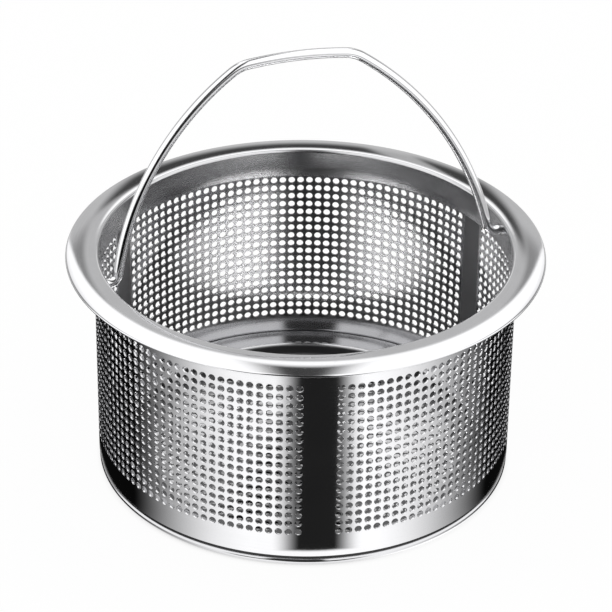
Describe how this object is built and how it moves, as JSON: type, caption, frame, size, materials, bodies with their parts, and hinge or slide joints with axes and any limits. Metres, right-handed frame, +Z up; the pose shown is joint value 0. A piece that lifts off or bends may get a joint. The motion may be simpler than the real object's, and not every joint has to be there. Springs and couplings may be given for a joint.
{
  "type": "sink basket strainer",
  "caption": "Round kitchen sink basket strainer in polished stainless steel, with a flanged rim, perforated wall, sunken base and a swinging wire bail.",
  "frame": {"origin": "centre of the underside of the base, on the surface that the basket stands on", "axes": "+Z up along the basket's axis, -Y towards the front, where one plain band of the wall lies a little to the right"},
  "size_m": [0.14, 0.14, 0.1279],
  "materials": {
    "rim": "mirror-polished stainless steel sheet",
    "wall": "polished perforated stainless steel sheet",
    "base": "polished stainless steel sheet",
    "wire": "polished stainless steel wire"
  },
  "bodies": {
    "basket": {"rim_ring": "rim", "perforated_wall": "wall", "base_pan": "base"},
    "bail": {"wire_bail": "wire"}
  },
  "joints": [
    {"name": "bail_swing", "type": "hinge", "parent": "basket", "child": "bail", "pos_m": [0, 0, 0.06665], "axis": [0.9548, 0.2974, 0], "range_deg": [-75, 95]}
  ]
}
